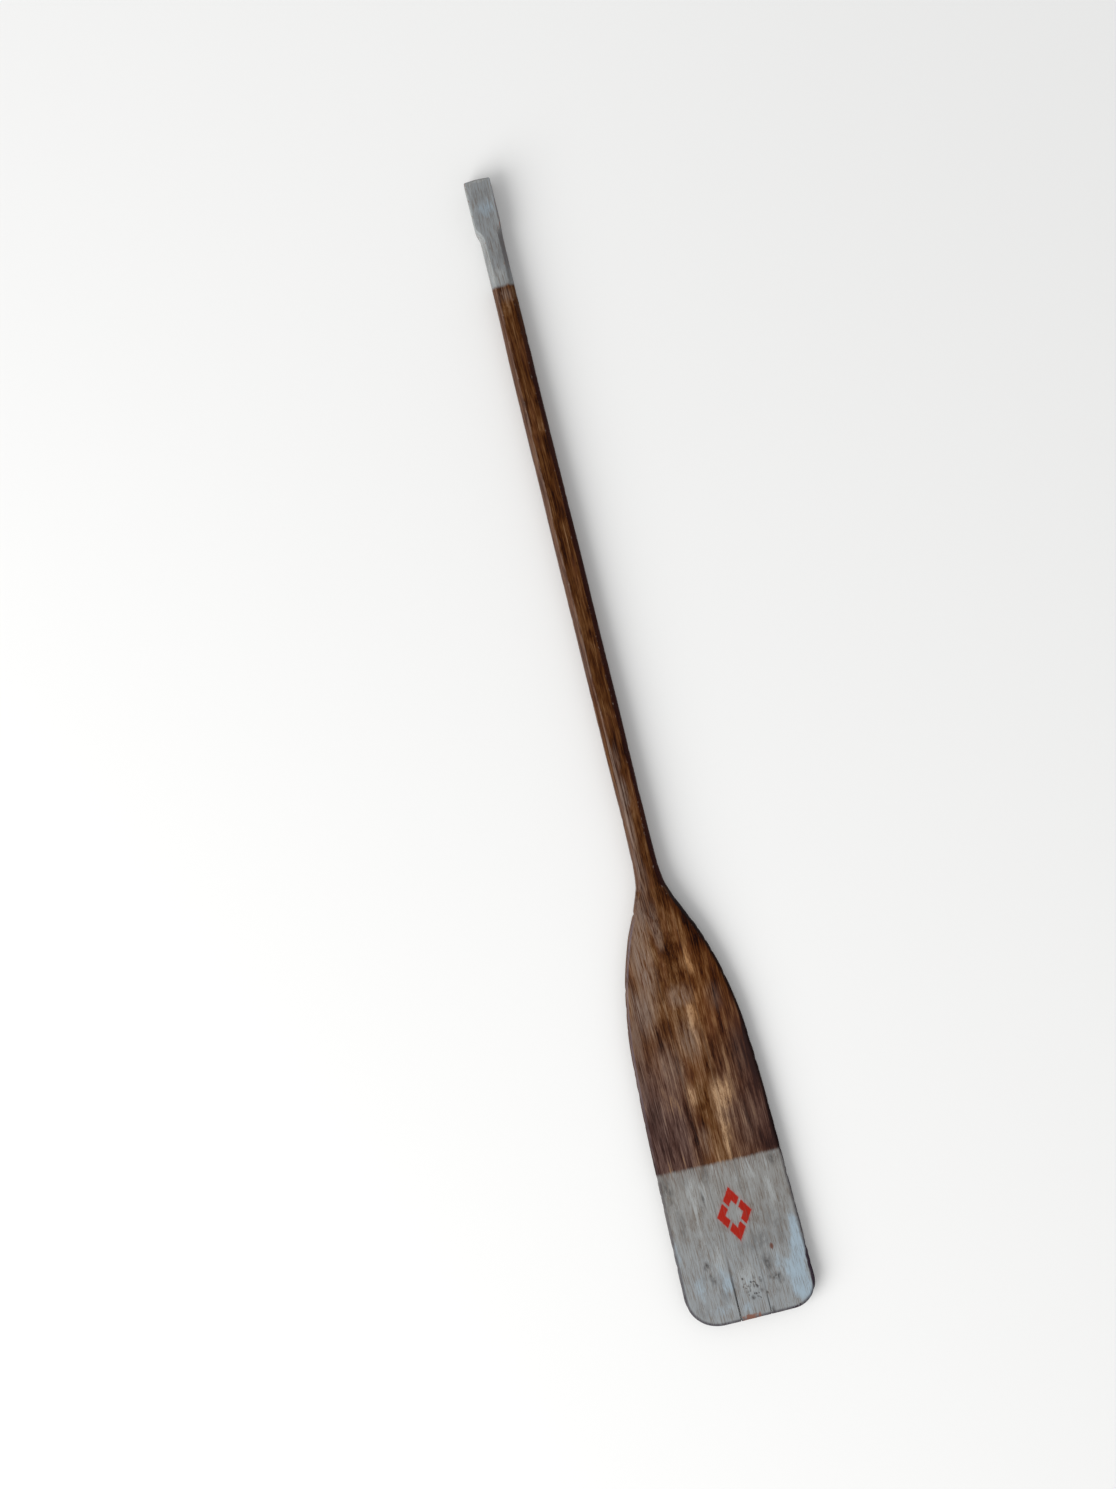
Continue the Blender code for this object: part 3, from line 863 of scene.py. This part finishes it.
def under_coat(n, cloud, mottle, hair, specks, brushed):
    """The grey coat, cooler near both ends, with lighter brush marks, painted highlights at the grip, and a
    brown wash in its hairs.
    """
    cool = n.most(n.along(1330, 1480), n.along(300, 200))
    colour = n.mix(cool, GREY_PAINT, COOL_PAINT)
    lighter = n.times(n.spots(n.ragged, LIGHTER, 0.8), n.front)
    lighter = n.add(lighter, n.times(cloud, 0.35), n.times(brushed, 0.45))
    # Lighter paint, and painted highlights on the grip.
    colour = n.over(colour, LIGHT_COAT_AND_HIGHLIGHT, n.step(n.add(lighter, mottle), 0.42, 1.1), 0.8)
    brown = n.add(n.times(cloud, -0.6), n.times(brushed, -0.4), mottle)
    brown = n.times(n.along(1600, 1340), n.along(-100, 400), n.step(brown, 0.42, 0.95))
    hairs = n.times(n.step(n.add(hair, n.times(specks, 0.1)), 0.46, 0.66), 0.7)
    return n.mix(n.least(n.add(n.times(brown, 0.75), hairs), 1.0), colour, BROWN_WASH)


def paint(n):
    """Two coats brushed along the grain: grey where the upper is thin or dirty, pale blue where whole."""
    cloud = n.wave(0.5, n.exact, 17, 44, 4, 0.58, seed=11)
    mottle = n.noise(n.ragged, 4.5, 12, 4, 0.68, seed=12)
    hair = n.noise(n.exact, 1.1, 20, 3, 0.6, seed=13)
    specks = n.step(n.noise(n.exact, 1.4, 2.4, 3, 0.6, seed=14), 0.62, 0.76)
    brushed = n.wave(0.5, n.exact, 2.6, 60, 4, 0.62, seed=15)
    colour = under_coat(n, cloud, mottle, hair, specks, brushed)
    whole = n.add(n.spots(n.close, WHOLE_COAT, 0.9), n.linear(mottle, 1.2, -0.6), n.times(brushed, 0.3))
    whole = n.times(n.step(whole, 0.08, 0.86), n.front, n.step(hair, 0.8, 0.44))
    colour = n.over(colour, PALE_BLUE, whole, 0.8)
    smudge = n.times(n.spots(n.close, SMUDGES, 0.9), n.front)
    smudge = n.times(smudge, n.step(n.add(mottle, n.times(hair, 0.5)), 0.95, 0.58))
    colour = n.mix(n.least(n.times(smudge, 0.75), 0.85), colour, DIRT)
    dirty = n.linear(n.step(cloud, 0.1, -0.3), 0.3, 0.2)
    colour = n.over(colour, DIRT, specks, dirty)
    rust = n.times(n.spot(n.close, *RUST_SPOT, 0.5), n.front)
    colour = n.over(colour, RUST, rust, 0.85)
    covering = n.linear(n.step(hair, 0.66, 0.52), 0.14, 0.84)
    colour = n.over(colour, RED_PAINT, stencil(n), covering)
    return n.over(colour, DIRT, n.step(n.pit, 0.2, 0.7), 0.8), hair, specks


def other_grain(material, name, shift):
    """The same material with its noise moved aside, so that the grain doesn't run on from board to board."""
    moved = material.copy()
    moved.name = name
    for node in moved.node_tree.nodes:
        if node.type == "MAPPING" and node.vector_type == "POINT":
            node.inputs["Location"].default_value[0] += shift
    return moved


def wood_rims(n, wood, fine, wall):
    """Arrises rubbed pale, on the left partly a painted highlight; the blade's rim near-black, painted shade
    on the right; a painted lilac sheen on the left bevel.
    """
    # Arrises rubbed pale in patches, mostly on the left, where it is partly a painted highlight; the nicks
    # below are wear.
    patches = n.step(n.noise(n.exact, 5, 30, 4, 0.65, seed=26), 0.44, 0.6)
    pale_arris_and_highlight = n.times(n.arris, n.step(n.across, 12, -6), patches)
    wood = n.over(wood, ARRIS_WEAR_AND_HIGHLIGHT, pale_arris_and_highlight, 0.5)
    nicks = n.times(n.arris, n.step(n.noise(n.exact, 4, 6, 3, 0.6, seed=28), 0.6, 0.68), n.front)
    wood = n.over(wood, ARRIS_WEAR_AND_HIGHLIGHT, nicks, 0.75)
    # A near-black line along the rim: painted shade on the right edge, and a thin dark line on the left.
    right_rim_shade = n.times(n.step(n.rim, 0.0058, 0.0022), n.along(930, 970), n.step(n.across, 8, 20))
    left_line = n.times(n.step(n.rim, 0.0012, 0.0003), n.along(990, 1080), 0.7)
    rim_line = n.times(n.most(right_rim_shade, left_line), n.linear(wall, -0.75, 1.0))
    wood = n.over(wood, BLACK_RIM_SHADE, rim_line, 0.9)
    # A painted lilac sheen on the blade's left bevel.
    lilac_sheen = n.times(n.step(n.off(n.rim, 0.0026), 0.0022, 0.0006), n.step(n.across, -20, -34), n.front)
    lilac_sheen = n.times(lilac_sheen, n.along(965, 1000), n.along(1360, 1150), n.step(fine, 0.2, 0.6))
    return n.over(wood, LILAC_SHEEN, lilac_sheen, 0.6)


def painted_ends(n):
    """1 where the paint covers the wood. The brush left its own edge where the paint stops."""
    brush = n.wave(0.9, n.exact, 9, 400, 3, 0.6, seed=22)
    brush = n.add(brush, n.wave(0.7, n.exact, 1.8, 60, 2, 0.5, seed=23))
    line = n.add(n.down, brush, n.times(n.across, -0.02))
    return n.most(n.step(line, 1312.4, 1318.2), n.step(n.add(n.down, brush), 145.0, 139.4))


def worn_tip(n, coat, chip, wall):
    """The paint worn through between the glue lines, worn dark at the lower right corner and along the rim,
    most on the right where it is partly painted shade, and a line of painted shade inside the painted rim.
    """
    between = n.times(n.step(n.off(n.across, -6.0), 17, 11), n.along(1513, 1519))
    through = n.step(n.add(between, chip), 0.6, 1.05)
    corner = n.most(*(n.spot(n.ragged, *oval, 0.35) for oval in WORN_CORNER_AND_SHADED_RIM))
    # Dark wear along the rim, stronger towards the right edge, where the darkness is partly painted shade.
    worn_and_shaded_rim = n.step(n.add(n.times(n.step(n.rim, 0.0034, 0.0004), 0.9), n.times(chip, 0.5)), 0.45, 0.85)
    open_to_wear = n.times(n.along(1000, 1300), n.linear(wall, -0.8, 0.9))
    open_to_wear = n.times(open_to_wear, n.step(n.across, -120, 20))
    worn_and_shaded_rim = n.most(n.times(open_to_wear, worn_and_shaded_rim), corner)
    # A line of painted shade just inside the rim of the painted tip.
    rim_shade_line = n.times(n.step(n.rim, 0.0054, 0.002), n.along(1280, 1340), n.front)
    rim_shade_line = n.times(rim_shade_line, n.linear(n.along(1400, 1490), 0.3, 0.7))
    rim_shade_line = n.times(rim_shade_line, n.linear(n.step(chip, -0.5, 0.6), 0.4, 0.55))
    coat = n.mix(n.most(worn_and_shaded_rim, rim_shade_line), coat, RIM_WEAR_AND_SHADE)
    return n.over(coat, BARE_WOOD, through, 0.9), through, worn_and_shaded_rim


def worn_grip(n, coat, chip):
    """Painted shade on the neck's right chamfer and along the block's right edge, scuffs on the arrises, and
    wood through at the grip's end.
    """
    on_grip = n.along(400, 300)
    # Painted shade: the neck's right chamfer and the block's right edge are darkened.
    neck_chamfer_shade = n.times(on_grip, n.along(60, 80), n.step(n.across, 9.0, 11.5), n.step(n.up, 12, 20))
    neck_chamfer_shade = n.times(neck_chamfer_shade, n.linear(n.along(105, 140), -0.8, 1.0))
    coat = n.over(coat, DIRT, on_grip, n.front, n.step(n.off(n.across, 1.0), 15, 8), 0.16)
    block_edge_shade = n.times(on_grip, n.step(n.across, 14.0, 16.5), n.step(n.up, 12, 20), n.along(6, 50))
    coat = n.over(coat, GRIP_SHADE, n.most(neck_chamfer_shade, block_edge_shade), 0.55)
    scuffed = n.times(n.arris, on_grip, n.step(n.add(chip, n.times(n.across, -0.02)), -0.35, 0.2))
    coat = n.over(coat, SCUFFED_PAINT, scuffed, 0.4)
    chipped = n.times(on_grip, n.step(n.add(n.times(n.arris, 0.55), chip), 0.62, 0.8))
    end_patches = n.step(n.noise(n.exact, 7, 7, 4, 0.65, seed=27), 0.46, 0.6)
    end_worn = n.times(n.along(1.2, 0.2), end_patches)
    coat = n.over(coat, BARE_WOOD, n.most(chipped, n.times(end_worn, 0.6)), 0.8)
    return coat, chipped, n.times(end_worn, 0.7)


def joint_dirt(n):
    """Dirt in the glue lines, most where they have opened near the tip."""
    joint = n.times(n.step(n.off(n.off(n.across, 0.0), 20.0), 1.4, 0.3), n.along(940, 1000))
    open_left = n.times(n.step(n.off(n.across, -20.2), 1.7, 0.6), n.along(1420, 1490), 0.72)
    open_right = n.times(n.step(n.off(n.across, 20.0), 1.5, 0.5), n.along(1470, 1515), 0.35)
    return n.most(n.times(joint, 0.22), open_left, open_right)


def board_material(name):
    n = BoardNodes(name)
    wood, fine, pores = stained_wood(n)
    coat, hair, specks = paint(n)
    wall = n.step(n.off(n.up, 16.0), 3.2, 1.2)
    wood = wood_rims(n, wood, fine, wall)
    painted = painted_ends(n)
    thin = n.times(n.along(1340, 1316), n.along(1300, 1312), n.step(hair, 0.36, 0.6))
    coat = n.over(coat, wood, thin, 0.3)
    chip = n.wave(0.5, n.exact, 4.0, 8.0, 4, 0.65, seed=24)
    coat, through, worn_and_shaded_rim = worn_tip(n, coat, chip, wall)
    coat, chipped, end_worn = worn_grip(n, coat, chip)
    through = n.most(through, chipped, end_worn)
    colour = n.mix(painted, wood, coat)
    n.surface("Base Color", n.mix(joint_dirt(n), colour, DIRT))

    bare = n.math("SUBTRACT", 1.0, painted)
    gloss = n.linear(n.noise(n.ragged, 9, 40, 3, 0.6, seed=25), 0.28, 0.24)
    rough = n.add(n.times(n.add(gloss, n.times(pores, 0.2)), bare), n.times(painted, 0.6))
    n.surface("Roughness", n.add(rough, n.times(n.most(through, worn_and_shaded_rim), painted, 0.12)))
    n.surface("Specular IOR Level", WOOD_SHINE)

    grain = n.add(n.times(fine, 0.6), n.times(pores, -0.8))
    film = n.add(n.times(hair, 0.5), n.times(specks, -0.5), n.times(through, -0.9), 0.5)
    n.surface("Normal", n.bump(n.add(n.times(grain, bare), n.times(film, painted)), WOOD_RELIEF))
    return n.material


DOWEL_WOOD = (
    (0.25, (0.24, 0.135, 0.062, 1)),
    (0.55, (0.43, 0.275, 0.145, 1)),
    (0.8, (0.56, 0.39, 0.23, 1)),
)


def dowel_material():
    """Bare close-grained hardwood, seen only where a joint is open. The grain runs across the oar."""
    n = Nodes("oar_dowel_wood")
    place = n.place()[0]
    grain = n.noise(place, 26, 0.9, 3, 0.6, seed=2)
    rays = n.noise(place, 5.0, 0.4, 2, 0.5, seed=8)
    tone = n.linear(rays, 0.3, n.times(grain, 0.7))
    n.surface("Base Color", n.ramp(tone, DOWEL_WOOD))
    n.surface("Roughness", n.linear(grain, 0.2, 0.5))
    n.surface("Normal", n.bump(grain, 0.0001))
    return n.material


# ---- the object

def add_object(name, data):
    made = bpy.data.objects.new(name, data)
    bpy.context.scene.collection.objects.link(made)
    return made


def add_piece(name, mesh, material, node):
    piece = add_object(name, mesh)
    mesh.materials.append(material)
    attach(piece, "root")
    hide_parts(node)
    return piece


def make_boards():
    wing_start = LENGTH / 2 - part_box("blade_wing_left")[1].y + WING_START_INSET
    stave = board_mesh("stave", 0.0, 0, STAVE_FACE_POINTS, 11)
    wood = board_material("oar_stave")
    add_piece("stave_board", stave, wood, "centre_stave")
    for side, word, shift in ((-1, "left", 40.0), (1, "right", 90.0)):
        wing = board_mesh(f"wing_{word}", wing_start, side, WING_FACE_POINTS, 50 + side)
        material = other_grain(wood, f"oar_wing_{word}", shift)
        add_piece(f"wing_board_{word}", wing, material, f"blade_wing_{word}")


def dress_dowels():
    material = dowel_material()
    for name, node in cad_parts.items():
        if name.startswith("cross_dowel"):
            node.data.materials.clear()
            node.data.materials.append(material)


# ---- the studio

VIEW_TURN = math.radians(-13.86)
CAMERA_PLACE = (-0.0726, 0.025, 2.714)
LENS = 50
SENSOR = 36
FLOOR_REACH = 60.0
FLOOR_DROP = 0.0001
LIGHT_COLOUR = (1.0, 0.995, 0.985)
ROOM_COLOUR = (0.99, 0.995, 1.0, 1)
WINDOW_POWER = 800
WINDOW_RADIUS = 2.3
SUN_POWER = 0.75
SUN_SPREAD = math.radians(55)
ROOM_POWER = 0.62


def make_camera():
    data = bpy.data.cameras.new("camera")
    data.lens = LENS
    data.sensor_width = SENSOR
    camera = add_object("camera", data)
    camera.location = CAMERA_PLACE
    camera.rotation_euler = (0, 0, VIEW_TURN)
    bpy.context.scene.camera = camera


def make_floor():
    n = Nodes("studio_floor")
    place = n.place()[0]
    shade = n.step(n.noise(place, 2600, 2600, 2, 0.5), 0.3, 0.7)
    colour = n.mix(shade, (0.805, 0.805, 0.8, 1), (0.82, 0.82, 0.815, 1))
    n.surface("Base Color", colour)
    n.surface("Roughness", 0.7)
    n.surface("Specular IOR Level", 0.2)
    mesh = bpy.data.meshes.new("floor")
    corners = [(x * FLOOR_REACH, y * FLOOR_REACH, 0) for x, y in ((-1, -1), (1, -1), (1, 1), (-1, 1))]
    mesh.from_pydata(corners, [], [(0, 1, 2, 3)])
    mesh.materials.append(n.material)
    floor = add_object("studio_floor", mesh)
    floor.location = (0, 0, -FLOOR_DROP)


def add_light(kind, name, place, energy):
    """Adds a light at this place, aimed at the middle of the oar."""
    data = bpy.data.lights.new(name, kind)
    data.color = LIGHT_COLOUR
    data.energy = energy
    light = add_object(name, data)
    light.location = place
    light.rotation_euler = (-Vector(place)).to_track_quat("-Z", "Y").to_euler()
    return data


def make_light():
    """Soft daylight from the lower left of the picture, in a pale room."""
    right = Vector((math.cos(VIEW_TURN), math.sin(VIEW_TURN), 0))
    towards_tip = Vector((right.y, -right.x, 0))
    place = -right * 3.2 + towards_tip * 2.6 + Vector((0, 0, 3.0))
    add_light("POINT", "window", place, WINDOW_POWER).shadow_soft_size = WINDOW_RADIUS
    add_light("SUN", "daylight", place, SUN_POWER).angle = SUN_SPREAD
    world = bpy.data.worlds.new("room")
    bpy.context.scene.world = world
    world.use_nodes = True
    background = world.node_tree.nodes["Background"]
    background.inputs["Color"].default_value = ROOM_COLOUR
    background.inputs["Strength"].default_value = ROOM_POWER
    bpy.context.scene.view_settings.view_transform = "Standard"


make_camera()
make_floor()
make_light()
make_boards()
dress_dowels()
